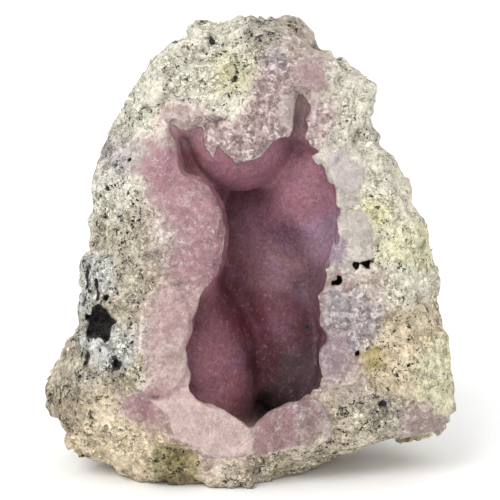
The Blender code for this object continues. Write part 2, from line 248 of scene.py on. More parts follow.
# Crisp-edged flakes of the broken crust: outline (across, up), lift, screen colour, coarseness.
FLAKES = {
    "knob": ([
        (9.2, 32.4), (11.2, 32.0), (13.4, 32.3), (15.6, 32.5), (15.6, 34.0), (15.0, 36.4),
        (13.8, 38.2), (11.6, 39.0), (9.8, 37.8), (9.0, 35.6),
    ], 0.4, (188, 158, 158), 0.15),
    "sliver": ([
        (13.6, 30.6), (12.5, 28.8), (12.1, 26.6), (12.5, 24.6), (13.4, 26.2), (13.5, 28.4),
        (14.3, 30.0),
    ], 0.9, (220, 196, 194), 0.1),
    "beside_notch": ([
        (6.2, 30.4), (8.6, 31.6), (9.2, 28.2), (9.2, 26.0), (7.2, 24.2), (5.8, 25.4), (5.4, 28.0),
    ], 0.2, (200, 182, 176), 0.4),
    "upper_plate": ([
        (15.4, 18.9), (16.6, 20.0), (17.4, 19.3), (19.1, 19.9), (20.0, 18.0), (21.1, 17.1),
        (22.9, 16.3), (22.6, 14.9), (22.3, 13.4), (21.7, 12.0), (20.0, 11.7), (18.0, 12.6),
        (16.9, 13.1), (16.3, 15.4),
    ], 0.3, (222, 210, 206), 0.1),
    "middle_plate": ([
        (17.2, 12.2), (19.8, 11.4), (22.0, 11.4), (22.3, 9.4), (20.4, 8.8), (18.8, 8.2), (17.4, 8.8),
    ], 0.1, (214, 203, 192), 0.4),
    "lower_plate": ([
        (17.4, 8.0), (19.0, 7.6), (20.8, 8.2), (22.4, 8.8), (23.6, 7.0), (24.4, 3.0), (24.8, -1.0),
        (23.0, -2.4), (20.4, -1.6), (19.0, 1.0), (17.8, 3.0), (17.4, 5.6),
    ], 0.25, (214, 204, 192), 0.3),
    "scallop": ([
        (15.6, 2.6), (17.6, 3.2), (19.2, 2.0), (19.4, -0.6), (18.0, -3.0), (15.8, -2.2),
        (14.8, -0.4),
    ], 0.15, (166, 148, 158), 0.2),
    "right_flake": ([
        (14.8, -8.0), (17.4, -7.4), (19.4, -9.0), (19.8, -12.6), (17.6, -14.6), (15.2, -15.2),
        (14.2, -12.6), (15.0, -10.0),
    ], 0.3, (186, 174, 176), 0.7),
    "right_lobe": ([
        (14.2, -16.2), (16.6, -15.6), (19.0, -17.0), (19.6, -20.6), (18.6, -23.6), (16.2, -26.0),
        (14.8, -24.4), (13.8, -21.6), (13.6, -18.4),
    ], 0.35, (168, 146, 152), 0.25),
    "left_petal": ([
        (-20.3, -30.0), (-18.3, -29.7), (-16.3, -29.6), (-14.9, -28.4), (-12.9, -27.6),
        (-10.0, -27.4), (-7.0, -28.2), (-4.8, -29.8), (-2.6, -31.8), (-0.4, -33.8), (0.4, -36.0),
        (1.0, -38.6), (0.6, -39.7), (-1.4, -40.9), (-3.7, -41.7), (-6.6, -42.0), (-9.4, -41.1),
        (-9.7, -39.7), (-12.6, -38.6), (-15.1, -37.7), (-15.7, -35.4), (-16.3, -33.1),
    ], 0.5, (224, 196, 189), 0.15),
    "right_petal": ([
        (0.5, -35.4), (0.8, -32.6), (2.8, -30.8), (5.2, -29.6), (8.4, -28.8), (9.4, -32.4),
        (9.2, -36.0), (10.0, -39.4), (6.6, -39.8), (3.2, -40.9), (0.9, -40.9), (0.5, -38.4),
    ], 0.35, (170, 134, 134), 0.15),
    "right_petal_end": ([
        (9.2, -29.0), (10.8, -28.8), (13.0, -29.2), (14.2, -31.4), (14.6, -34.0), (14.2, -36.4),
        (13.2, -38.6), (11.8, -39.8), (9.8, -38.6), (9.0, -35.0),
    ], 0.5, (176, 146, 142), 0.35),
    "little_flake": ([
        (14.6, -34.4), (16.2, -35.0), (16.8, -37.4), (15.4, -38.2), (14.4, -36.8),
    ], 0.4, (200, 184, 176), 0.3),
    "strip_low": ([
        (-19.6, -19.4), (-16.0, -18.8), (-11.0, -19.4), (-10.2, -22.6), (-10.0, -25.4),
        (-12.6, -27.0), (-15.2, -27.2), (-18.8, -26.4), (-20.4, -23.0),
    ], 0.25, (208, 180, 172), 0.3),
    "strip_high": ([
        (-17.6, -7.6), (-13.4, -6.8), (-9.6, -9.4), (-9.0, -14.0), (-9.6, -17.9),
        (-14.6, -18.6), (-18.0, -17.2), (-18.6, -12.0),
    ], 0.1, (202, 168, 166), 0.25),
    "fold": ([
        (-15.6, 27.0), (-13.8, 26.0), (-13.2, 23.4), (-14.6, 22.4), (-16.2, 24.6),
    ], 0.5, (214, 190, 188), 0.1),
}
# The unbroken lining of the hollow: (across, up), radius, screen colour. The dark colours in the
# middle, the valley, the creases, the low right, the pocket, the slit and the notch are painted
# shade, where the hollow lies in shadow.
LINING = {
    "upper": ((13, 13), 8, (156, 106, 118)),
    "mauve": ((17, 4), 5, (154, 122, 140)),
    "right_low": ((13, -8), 5, (112, 82, 90)),
    # Painted shade: the middle and the valley lie in the left dome's shadow.
    "middle": ((-1, 5), 6, (122, 80, 96)),
    "valley_shade": ((8, 2), 3, (104, 68, 84)),
    "ridge_top": ((4.5, -4), 5, (136, 96, 102)),
    "ridge": ((7, -13), 6, (112, 66, 76)),
    # Painted shade deep in the hollow: the low right, and the pocket painted near black.
    "low_right": ((11, -27), 7, (82, 58, 62)),
    "pocket": ((3, -33), 4, (40, 26, 26)),
    "low_left": ((-9, -22), 8, (132, 82, 93)),
    "low_left_tip": ((-3, -31), 5, (146, 92, 100)),
    # Painted shade along the dark crease beside the dome.
    "crease_top": ((-4, -8), 4, (104, 52, 62)),
    "crease_shade": ((0, -15), 4.5, (94, 38, 48)),
    "crease_low": ((2.5, -22), 4, (84, 36, 44)),
    "smooth_left": ((-18, 17), 7, (192, 152, 158)),
    "top": ((-2, 14), 7, (148, 98, 110)),
    # Painted shade in the slit and the notch.
    "slit": ((-12.6, 18), 3.0, (140, 80, 88)),
    "notch": ((11, 28), 4, (126, 98, 98)),
    "left": ((-6, 2), 6, (148, 98, 107)),
    "dome_foot": ((-9, -7), 3, (160, 108, 116)),
    "foot": ((-2, -38), 6, (190, 152, 150)),
}
# White marks where the crust is bruised: (across, up), radius, first and last angle in degrees.
BRUISES = {
    "round": ((-11.2, 10.0), 1.5, 0, 360),
    "rim": ((-9.6, 6.0), 3.4, -50, 40),
    "rim_low": ((-9.0, 1.0), 3.6, -60, 20),
    "inner": ((-12.6, 3.2), 1.8, 200, 330),
    "dome_low": ((-13.0, -1.6), 1.2, 20, 180),
    "beside_sliver": ((15.4, 27.0), 2.6, 120, 300),
    "fold": ((-15.6, 25.5), 1.6, 20, 200),
    "petal": ((9.0, -35.0), 3.6, 60, 200),
    "petal_small": ((12.0, -34.4), 2.6, 20, 220),
    "plate": ((18.8, 13.4), 1.3, 180, 330),
}
# Centres that the fibres of the crust spread from, and how far they reach.
FIBRES = [((-6.0, -5.0), 12.0), ((-8.0, -44.0), 12.0), ((8.0, -44.0), 10.0)]
# Colours that the materials mix in, as linear light.
PAINTS = {
    # The rock's low parts: partly its own olive brown, partly painted shade.
    "dull": (0.13, 0.11, 0.085),
    "dull_green": (0.22, 0.19, 0.09),
    # The crumbs' tops: partly painted light.
    "crumb": (0.92, 0.90, 0.80),
    # Painted shade in the cracks between crumbs.
    "shade_between_crumbs": (0.15, 0.12, 0.07),
    "stain": (0.26, 0.22, 0.10),
    # Painted shade in the pores and cracks.
    "pore": (0.024, 0.021, 0.016),
    "pale_grain": (0.80, 0.74, 0.73),
    "dark_grain": (0.18, 0.12, 0.11),
    "feather": (0.78, 0.69, 0.69),
    "frost": (0.76, 0.69, 0.68),
    "bruise": (0.80, 0.71, 0.71),
    "violet": (0.25, 0.13, 0.24),
    "bloom": (0.55, 0.38, 0.42),
    # Painted glints of the lining's crystals.
    "painted_glint": (0.66, 0.50, 0.56),
    # Painted highlight along the hollow's rim.
    "lip": (0.70, 0.55, 0.57),
    # Painted shade on the floors of pits.
    "deep": (0.030, 0.028, 0.026),
}

FACE_BRIGHTNESS = 0.76
SKY_STRENGTH = 1.0
KEY_STRENGTH = 1.5
KEY_DIRECTION = (0.40, 0.60, -0.70)
KEY_SOFTNESS = math.radians(32)
CAMERA_DISTANCE, FRAME_WIDTH = 450.0, 100.0
FLOOR_HALF = 4.0

# The space that random patterns are laid over, in face places.
LOWEST = np.array((-52.0, -62.0, -58.0))
HIGHEST = np.array((54.0, 60.0, 10.0))
CRUST_STEP = 0.40
ROCK_STEP = 0.51
ROUGHNESS_STEP = 1.2
SKIN_DEPTH = 8.0
# How far each piece runs on past the other's edge, and how flat faces must be to be joined.
SEAM = 0.4
CRUST_FLATNESS = 0.003
ROCK_FLATNESS = 0.03


# ---------------------------------------------------------------- distance fields

def random_lattice(wavelength, seed):
    """Random values between -1 and 1 at points this far apart, over the whole space."""
    shape = ((HIGHEST - LOWEST) / wavelength).astype(int) + 3
    return np.random.default_rng(seed).uniform(-1, 1, shape).astype(np.float32)


def between_points(lattice, spots):
    """The lattice's value at spots counted in its own steps, smoothly in between."""
    cell = np.clip(np.floor(spots).astype(int), 0, np.array(lattice.shape) - 2)
    part = np.clip(spots - cell, 0, 1)
    total = np.zeros(len(spots))
    for corner in np.ndindex(2, 2, 2):
        share = np.prod(np.where(corner, part, 1 - part), axis=1)
        total += share * lattice[tuple((cell + corner).T)]
    return total


def noise_at(places, wavelength, seed):
    return between_points(random_lattice(wavelength, seed), (places - LOWEST) / wavelength)


class Grid:
    """Evenly spaced points over a box on the face."""

    def __init__(self, low, high, step):
        self.step = step
        self.axes = [np.arange(a, b, step, dtype=np.float32) for a, b in zip(low, high)]
        self.low = np.array([axis[0] for axis in self.axes])
        self.across = self.axes[0][:, None, None]
        self.up = self.axes[1][None, :, None]
        self.out = self.axes[2][None, None, :]

    def spread(self, lattice, spacing):
        """Fills the grid smoothly from a coarser lattice over the whole space."""
        field = lattice.astype(np.float32)
        for number, axis in enumerate(self.axes):
            place = (axis - LOWEST[number]) / spacing
            cell = np.floor(place).astype(int)
            blend = (place - cell).astype(np.float32)
            near = np.take(field, cell, axis=number)
            step = np.take(field, cell + 1, axis=number) - near
            field = near + step * blend.reshape([-1 if k == number else 1 for k in range(3)])
        return field

    def noise(self, wavelength, seed):
        """Smooth random hills and dips between -1 and 1."""
        return self.spread(random_lattice(wavelength, seed), wavelength)

    def at(self, field, places):
        return between_points(field, (places - self.low) / self.step)


Spots = namedtuple("Spots", "across up out")


def soft_min(first, second, width):
    blend = np.clip(0.5 + 0.5 * (second - first) / width, 0, 1)
    return second + (first - second) * blend - width * blend * (1 - blend)


def soft_max(first, second, width):
    return -soft_min(-first, -second, width)


def ramp(value, low, high):
    """Rises smoothly from 0 at low to 1 at high."""
    share = np.clip((value - low) / (high - low), 0, 1)
    return share * share * (3 - 2 * share)


def lobe_field(grid, lobe):
    (across, up, out), (half_across, half_up, half_out), roll = lobe
    turn = math.radians(roll)
    x, y = grid.across - across, grid.up - up
    x, y = math.cos(turn) * x + math.sin(turn) * y, math.cos(turn) * y - math.sin(turn) * x
    z = grid.out - out
    size = np.sqrt((x / half_across) ** 2 + (y / half_up) ** 2 + (z / half_out) ** 2)
    slope = (x / half_across ** 2) ** 2 + (y / half_up ** 2) ** 2 + (z / half_out ** 2) ** 2
    return size * (size - 1) / np.sqrt(slope + 1e-9)


def lobes_field(grid, lobes, width):
    field = None
    for lobe in lobes.values():
        found = lobe_field(grid, lobe)
        field = found if field is None else soft_min(field, found, width)
    return field


def outline_radius(angles):
    corners = np.array(OUTLINE, float) - OUTLINE_CENTRE
    steps = np.linspace(0, 1, 16, endpoint=False)[:, None, None]
    edges = corners + steps * (np.roll(corners, -1, axis=0) - corners)
    edges = edges.reshape(-1, 2)
    turn = np.arctan2(edges[:, 1], edges[:, 0])
    order = np.argsort(turn)
    reach = np.hypot(edges[:, 0], edges[:, 1])[order]
    return np.interp(angles, turn[order], reach, period=2 * math.pi)


def body_field(grid):
    """The whole rock, smooth and with no hollow."""
    sideways = grid.across - OUTLINE_CENTRE[0]
    height = grid.up - OUTLINE_CENTRE[1]
    radius = outline_radius(np.arctan2(height, sideways)).astype(np.float32)
    rise = np.clip((grid.up - LOWEST_UP) / (HIGHEST_UP - LOWEST_UP), 0, 1)
    back = BACK_DEPTH_LOW + (BACK_DEPTH_TOP - BACK_DEPTH_LOW) * rise
    inward = grid.out + RIM_DEPTH
    depth = np.where(inward > 0, FRONT_BULGE, back)
    size = (np.hypot(sideways, height) / radius) ** OUTLINE_POWER
    size = size + (np.abs(inward) / depth) ** DEPTH_POWER
    field = size ** (1 / BODY_POWER) - 1
    slopes = np.gradient(field, grid.step)
    steepness = np.sqrt(sum(slope * slope for slope in slopes))
    return (field / np.maximum(steepness, 1e-3)).astype(np.float32)


def roughness_at(point):
    """How far the rock's roughness stands out at a point in millimetres."""
    behind = min(max((point.y - RIM_DEPTH) / RIM_DEPTH, 0), 1)
    bulge = noise.noise(point / BULGES[0] + Vector((0.6, 4.2, 8.1))) * BULGES[1] * behind
    lump = noise.fractal(point / LUMPS[0], 1.0, 2.0, 3) * LUMPS[1]
    distances, blocks = noise.voronoi(point / LEDGES[0] + Vector((3.1, 7.7, 1.9)))
    ledge = noise.noise(blocks[0] * 5.3) * LEDGES[1]
    crack = max(0.0, 1 - (distances[1] - distances[0]) / CRACKS[0]) * CRACKS[1]
    grain = noise.noise(point / GRAIN[0]) * GRAIN[1]
    return bulge + lump + ledge - crack + grain


def roughness_lattice():
    """The roughness near the smooth rock's skin, and 0 elsewhere."""
    grid = Grid(LOWEST, HIGHEST + 2 * ROUGHNESS_STEP, ROUGHNESS_STEP)
    skin = np.abs(body_field(grid))
    lattice = np.zeros(skin.shape, np.float32)
    for cell in np.argwhere(skin < SKIN_DEPTH):
        across, up, out = LOWEST + cell * ROUGHNESS_STEP
        lattice[tuple(cell)] = roughness_at(Vector((across, -out, up)))
    return lattice


# ---------------------------------------------------------------- the broken face

def wandering(across, up, reach):
    """Moves places on the face a little, so that straight borders wander."""
    places = np.stack(np.broadcast_arrays(across, up, 0.0), axis=-1).reshape(-1, 3)
    moved = []
    for seed, start in ((31, across), (32, up)):
        shift = noise_at(places, 6.0, seed) + 0.7 * noise_at(places, 2.6, seed + 5)
        shift += 0.5 * noise_at(places, 1.2, seed + 7)
        moved.append(start + reach * shift.reshape(np.shape(across + up)))
    return moved


def look_shares(across, up):
    """How much of each look there is at a place on the face."""
    across, up = wandering(across, up, 2.2)
    shares = dict.fromkeys(LOOKS, 0.0)
    for (centre_across, centre_up), radius, look in FACE.values():
        near = ((across - centre_across) ** 2 + (up - centre_up) ** 2) / radius ** 2
        shares[look] = shares[look] + (1 + near) ** -4.0
    total = sum(shares.values())
    return {look: share / total for look, share in shares.items()}


def face_value(across, up, part):
    """The crust's share, for part 1, or the coarseness, for part 2, at a place on the face."""
    shares = look_shares(across, up)
    value = sum(share * LOOKS[look][part] for look, share in shares.items())
    for flake, (_, _, _, coarse) in flake_shares(across, up).values():
        value = value + flake * ((1.0, coarse)[part - 1] - value)
    return value


def outline_distance(across, up, corners):
    """Distance outside a closed outline on the face, negative inside it."""
    nearest, inside = np.inf, False
    for (x0, y0), (x1, y1) in zip(corners, corners[1:] + corners[:1]):
        run, rise = x1 - x0, y1 - y0
        along = ((across - x0) * run + (up - y0) * rise) / (run * run + rise * rise)
        along = np.clip(along, 0, 1)
        nearest = np.minimum(
            nearest, np.hypot(across - x0 - along * run, up - y0 - along * rise)
        )
        spans = (y0 > up) != (y1 > up)
        left = (across - x0) * rise * np.sign(rise) < (up - y0) * run * np.sign(rise)
        inside = inside ^ (spans & left)
    return np.where(inside, -nearest, nearest)


def flake_shares(across, up):
    """How much each flake covers a place on the face, with the flake's own values."""
    across, up = wandering(across, up, 0.5)
    return {
        name: (1 - ramp(outline_distance(across, up, values[0]), -0.25, 0.25), values)
        for name, values in FLAKES.items()
    }


def flake_lift(across, up):
    """How far the flakes stand out, highest just inside their edges."""
    return sum(flake * values[1] for flake, values in flake_shares(across, up).values())


def flake_edges(across, up):
    """1 along the flakes' edges, fading to 0 beside them."""
    across, up = wandering(across, up, 0.5)
    edges = np.zeros(len(across))
    for corners, _, _, _ in FLAKES.values():
        offset = outline_distance(across, up, corners) + 0.35
        edges = np.maximum(edges, np.exp(-((offset / 0.4) ** 2)))
    return edges


def pits_field(grid):
    """The pits and cracks in the front, with ragged walls."""
    field = lobes_field(grid, PITS, 0.2)
    return field + 0.65 * grid.noise(1.9, 18) + 0.65 * grid.noise(1.0, 19)


def broken_surface(grid, rough):
    """The rock's whole outside, with its crumbs, grains and plates, and without them."""
    smooth_body = body_field(grid)
    front = lobes_field(grid, FRONT_LOBES, 1.8)
    broken_lobes = soft_max(front, smooth_body - BREAK_HEIGHT, 0.5)
    at_front = ramp(grid.out, -RIM_DEPTH, -RIM_DEPTH / 2)
    crusty = face_value(grid.across, grid.up, 1) * at_front
    rough_here = grid.spread(rough, ROUGHNESS_STEP) * (1 - 0.6 * crusty)
    whole = soft_min(smooth_body - rough_here, broken_lobes, 0.6)
    coarse = face_value(grid.across, grid.up, 2)
    crumbs = 0.55 * grid.noise(4.3, 21) + 0.80 * grid.noise(2.1, 22) + 0.60 * grid.noise(1.2, 23)
    pores = ramp(grid.noise(1.9, 24) + 0.5 * grid.noise(7.0, 25), 0.55, 0.95)
    grains = 0.30 * grid.noise(3.3, 11) + 0.36 * grid.noise(1.5, 12)
    plates = 0.35 * np.tanh(9 * grid.noise(5.0, 13)) + 0.15 * grid.noise(2.4, 10)
    relief = (1 - crusty) * (crumbs - 0.9 * pores) + crusty * (coarse * grains + plates)
    return whole - relief - flake_lift(grid.across, grid.up) * at_front, whole


def open_hollow(grid, surface):
    """The space of the hollow, with a chipped rim."""
    front = lobes_field(grid, FRONT_LOBES, 1.2)
    inner = lobes_field(grid, INNER_LOBES, 4.5)
    walls = soft_min(front, inner, 2.0)
    hollow = soft_max(lobes_field(grid, HOLLOW, 2.5), -walls, 1.2)
    rim = 1 - ramp(-surface, 0.6, 3.0)
    chips = 0.65 * np.tanh(5 * grid.noise(3.4, 14)) + 0.55 * np.tanh(5 * grid.noise(1.7, 15))
    beside_strip = ramp(-grid.across, 9, 12) * ramp(-grid.up, 6, 10) * ramp(grid.up, -29, -26)
    chips = chips * (0.25 + 0.75 * ramp(grid.across, 9, 13) + 0.5 * beside_strip)
    skin = 0.20 * grid.noise(3.1, 16) + 0.10 * grid.noise(1.3, 17)
    return hollow + rim * chips + skin


# ---------------------------------------------------------------- meshes

FACE_TO_ROW = (
    Matrix.Translation(Vector(FACE_ORIGIN) * MM)
    @ Matrix.Rotation(-FACE_LEAN, 4, "X")
    @ Matrix(((MM, 0, 0, 0), (0, 0, -MM, 0), (0, MM, 0, 0), (0, 0, 0, 1)))
)


def largest_shell(count, faces):
    """Which points are on the largest connected surface, so no loose bit or closed pocket is."""
    starts = np.concatenate([part.ravel() for part in faces])
    ends = np.concatenate([np.roll(part, -1, axis=1).ravel() for part in faces])
    label = np.arange(count)
    while True:
        lowest = np.minimum(label[starts], label[ends])
        found = label.copy()
        np.minimum.at(found, starts, lowest)
        np.minimum.at(found, ends, lowest)
        found = found[found]
        if np.array_equal(found, label):
            return label == np.bincount(label).argmax()
        label = found


def mesh_from(name, grid, field, flatness):
    """A mesh of the field's zero surface, with its points in the row frame."""
    volume = openvdb.FloatGrid(background=3.0)
    volume.copyFromArray(np.clip(field, -3, 3).astype(np.float32))
    points, triangles, quads = volume.convertToPolygons(isovalue=0.0, adaptivity=flatness)
    parts = [np.array(quads).reshape(-1, 4), np.array(triangles).reshape(-1, 3)]
    keep = largest_shell(len(points), parts)
    numbers = np.cumsum(keep) - 1
    places = (points * grid.step + grid.low)[keep]
    faces = [face for part in parts for face in numbers[part[keep[part[:, 0]]]].tolist()]
    mesh = bpy.data.meshes.new(name)
    mesh.from_pydata(places.tolist(), [], faces)
    mesh.transform(FACE_TO_ROW)
    mesh.shade_smooth()
    return mesh, places


def add_number(mesh, name, values):
    mesh.attributes.new(name, "FLOAT", "POINT").data.foreach_set(
        "value", np.asarray(values, np.float32)
    )


def add_colour(mesh, name, colours):
    rows = np.ones((len(colours), 4), np.float32)
    rows[:, :3] = colours
    mesh.attributes.new(name, "FLOAT_COLOR", "POINT").data.foreach_set("color", rows.ravel())


def linear(red, green, blue):
    """A colour given as screen values from 0 to 255, as the light it stands for."""
    screen = np.array((red, green, blue)) / 255
    return np.where(screen < 0.04045, screen / 12.92, ((screen + 0.055) / 1.055) ** 2.4)


def outside_colours(places):
    """The broken face's looks in front, and weathered rock round the sides and back."""
    shares = look_shares(places[:, 0], places[:, 1])
    face = sum(np.outer(share, linear(*LOOKS[look][0])) for look, share in shares.items())
    for flake, (_, _, colour, _) in flake_shares(places[:, 0], places[:, 1]).values():
        face = face + flake[:, None] * (linear(*colour) - face)
    pale, ochre, grey = (linear(*LOOKS[look][0]) for look in ("cream", "ochre", "grey"))
    yellow = ramp(noise_at(places, 17.0, 41) + 0.5 * noise_at(places, 6.0, 42), -0.1, 0.6)
    dull = ramp(noise_at(places, 13.0, 43) + 0.5 * noise_at(places, 5.0, 44), 0.0, 0.7)
    back = pale + np.outer(yellow, ochre - pale)
    back = back + dull[:, None] * (grey - back) * 0.6
    out = places[:, 2] + 2.0 * noise_at(places, 6.0, 45)
    front_share = ramp(out, -1.6 * RIM_DEPTH, -0.8 * RIM_DEPTH)
    return FACE_BRIGHTNESS * (back + front_share[:, None] * (face - back))


def lining_colours(places):
    across, up = wandering(places[:, 0], places[:, 1], 1.5)
    total, colours = np.zeros(len(places)), np.zeros((len(places), 3))
    for (centre_across, centre_up), radius, colour in LINING.values():
        near = ((across - centre_across) ** 2 + (up - centre_up) ** 2) / radius ** 2
        share = (1 + near) ** -4.0
        total += share
        colours += np.outer(share, linear(*colour))
    return FACE_BRIGHTNESS * colours / total[:, None]


def bruise_marks(places):
    """1 along the white rings and crescents, fading to 0 beside them."""
    across, up = wandering(places[:, 0], places[:, 1], 0.35)
    marks = np.zeros(len(places))
    for (centre_across, centre_up), radius, first, last in BRUISES.values():
        x, y = across - centre_across, up - centre_up
        turn = (np.degrees(np.arctan2(y, x)) - first) % 360 + first
        line = np.exp(-((np.hypot(x, y) - radius) / 0.28) ** 2)
        marks = np.maximum(marks, line * (turn < last) * (places[:, 2] > -RIM_DEPTH))
    return marks


def fibre_pattern(places):
    """An angle that the fibres follow, and how strongly they show."""
    angle, strength = np.zeros(len(places)), np.zeros(len(places))
    for (centre_across, centre_up), reach in FIBRES:
        x, y = places[:, 0] - centre_across, places[:, 1] - centre_up
        near = np.exp(-((np.hypot(x, y) / reach) ** 4))
        closer = near > strength
        angle = np.where(closer, np.arctan2(y, x), angle)
        strength = np.where(closer, near, strength)
    return angle, strength


def crease_between_lobes(places):
    """1 where two of the crust's rounded lobes meet, fading to 0 beside it; the crust is painted
    darker there as shade.
    """
    spots = Spots(*places.T)
    distances = np.sort([lobe_field(spots, lobe) for lobe in FRONT_LOBES.values()], axis=0)
    meeting = np.exp(-(((distances[1] - distances[0]) / 0.7) ** 2))
    return meeting * (1 - ramp(distances[0], 0.5, 2.0))


def add_looks(mesh, grid, places, base, pits, hollow=None):
    """Everything that the materials need to know about each point."""
    depth = -grid.at(base, places)
    in_pit = 1 - ramp(grid.at(pits, places), 0.0, 1.1)
    at_front = ramp(places[:, 2], -RIM_DEPTH, -RIM_DEPTH / 2)
    across, up = places[:, 0], places[:, 1]
    angle, strength = fibre_pattern(places)
    broken = np.ones(len(places))
    if hollow is not None:
        outside = ramp(grid.at(hollow, places), 0.6, 1.2)
        broken = np.maximum(1 - ramp(depth, 0.5, 1.3), outside)
    add_number(mesh, "broken", broken)
    # How far into a pit a point lies, for the painted shade on pit floors.
    add_number(mesh, "pit", in_pit * ramp(depth, -0.2, 0.7))
    add_number(mesh, "crusty", face_value(across, up, 1) * at_front)
    add_number(mesh, "coarse", face_value(across, up, 2))
    add_number(mesh, "bruise", bruise_marks(places))
    # Where the crust's lobes meet, for the painted shade in those creases.
    add_number(mesh, "crease_shade", crease_between_lobes(places))
    add_number(mesh, "edge", flake_edges(across, up) * at_front)
    add_number(mesh, "fibre_angle", angle)
    add_number(mesh, "fibre_strength", strength * at_front)
    add_colour(mesh, "tint", outside_colours(places))
    add_colour(mesh, "lining_tint", lining_colours(places))


def shape_crust(rough):
    grid = Grid((-34, -49, -38), (36, 51, 5), CRUST_STEP)
    surface, base = broken_surface(grid, rough)
    pits = pits_field(grid)
    cavity = lobes_field(grid, CAVITY, 3.0)
    hollow = open_hollow(grid, surface)
    whole = soft_max(surface, -np.minimum(hollow, pits), 0.25)
    whole = np.maximum(whole, cavity - SEAM)
    mesh, places = mesh_from("crust_form", grid, whole, CRUST_FLATNESS)
    add_looks(mesh, grid, places, base, pits, hollow)
    return mesh


def shape_rock(rough):
    grid = Grid((-48, -59, -54), (49, 57, 6), ROCK_STEP)
    surface, base = broken_surface(grid, rough)
    pits = pits_field(grid)
    cavity = lobes_field(grid, CAVITY, 3.0)
    ground = -BASE_DROP - grid.up * math.cos(FACE_LEAN) - grid.out * math.sin(FACE_LEAN)
    whole = np.maximum(soft_max(surface, -pits, 0.25), ground)
    whole = np.maximum(whole, -cavity - SEAM)
    mesh, places = mesh_from("rock_form", grid, whole, ROCK_FLATNESS)
    add_looks(mesh, grid, places, base, pits)
    return mesh


def add_piece(name, mesh, material):
    piece = bpy.data.objects.new(name, mesh)
    bpy.context.scene.collection.objects.link(piece)
    mesh.materials.append(material)
    return piece


# ---------------------------------------------------------------- materials

class Surface:
    """The nodes of one material. Sizes are in millimetres on the object."""

    def __init__(self, name):
        self.material = bpy.data.materials.new(name)
        self.material.use_nodes = True
        self.tree = self.material.node_tree
        self.shader = self.tree.nodes["Principled BSDF"]
        self.place = self.add("ShaderNodeTexCoord").outputs["Object"]

    def add(self, kind, settings=None, **values):
        node = self.tree.nodes.new(kind)
        for name, value in (settings or {}).items():
            setattr(node, name, value)
        for name, value in values.items():
            self.put(node.inputs[name.replace("_", " ")], value)
        return node

    def put(self, socket, value):
        if isinstance(value, bpy.types.NodeSocket):
            self.tree.links.new(value, socket)
        else:
            socket.default_value = value

    def attribute(self, name, output="Fac"):
        return self.add("ShaderNodeAttribute", {"attribute_name": name}).outputs[output]

    def noise(self, size, detail=3.0, roughness=0.6):
        node = self.add(
            "ShaderNodeTexNoise", None,
            Vector=self.place, Scale=1 / (size * MM), Detail=detail, Roughness=roughness,
        )
        return node.outputs["Fac"]

    def streaks(self, angle, per_radian):
        """Noise that changes only with an angle, for fibres that spread from a centre."""
        node = self.add(
            "ShaderNodeTexNoise", {"noise_dimensions": "1D"},
            W=angle, Scale=per_radian, Detail=3.0, Roughness=0.7,
        )
        return node.outputs["Fac"]

    def fragments(self, size, feature="F1"):
        """A random value for each of many uneven fragments, or the distance to their edges."""
        warp = self.add(
            "ShaderNodeTexNoise", None, Vector=self.place, Scale=0.8 / (size * MM), Detail=3.0
        )
        moved = self.add("ShaderNodeVectorMath", {"operation": "MULTIPLY_ADD"})
        self.put(moved.inputs[0], warp.outputs["Color"])
        self.put(moved.inputs[1], (1.6 * size * MM,) * 3)
        self.put(moved.inputs[2], self.place)
        node = self.add(
            "ShaderNodeTexVoronoi", {"feature": feature},
            Vector=moved.outputs[0], Scale=1 / (size * MM),
        )
        if feature != "F1":
            return node.outputs["Distance"]
        return self.add("ShaderNodeSeparateColor", None, Color=node.outputs["Color"]).outputs[0]

    def ramp(self, value, low, high, to_low=0.0, to_high=1.0):
        node = self.add(
            "ShaderNodeMapRange", {"interpolation_type": "SMOOTHSTEP"}, Value=value,
            From_Min=low, From_Max=high, To_Min=to_low, To_Max=to_high,
        )
        return node.outputs["Result"]

    def math(self, operation, first, second=0.0):
        node = self.add("ShaderNodeMath", {"operation": operation})
        for socket, value in zip(node.inputs, (first, second)):
            self.put(socket, value)
        return node.outputs[0]

    def times(self, first, second):
        return self.math("MULTIPLY", first, second)

    def plus(self, first, second):
        return self.math("ADD", first, second)

    def mix(self, share, first, second):
        node = self.add("ShaderNodeMix", {"data_type": "RGBA"})
        colours = [socket for socket in node.inputs if socket.type == "RGBA"]
        self.put(node.inputs["Factor"], share)
        for socket, value in zip(colours, (first, second)):
            self.put(socket, value if isinstance(value, bpy.types.NodeSocket) else (*value, 1.0))
        return node.outputs[2]

    def shade(self, colour, low, high, share):
        """The colour made darker or lighter as share goes from 0 to 1."""
        node = self.add("ShaderNodeVectorMath", {"operation": "SCALE"})
        self.put(node.inputs[0], colour)
        self.put(node.inputs["Scale"], self.ramp(share, 0.0, 1.0, low, high))
        return node.outputs[0]

    def lines(self, size, width):
        """Thin curving lines where smooth noise crosses its middle."""
        offset = self.math("ABSOLUTE", self.math("SUBTRACT", self.noise(size, 4, 0.65), 0.5))
        return self.ramp(offset, 0.0, width, 1.0, 0.0)

    def bump(self, height, distance, normal=None):
        node = self.add("ShaderNodeBump", None, Height=height, Distance=distance * MM)
        if normal:
            self.put(node.inputs["Normal"], normal)
        return node.outputs["Normal"]


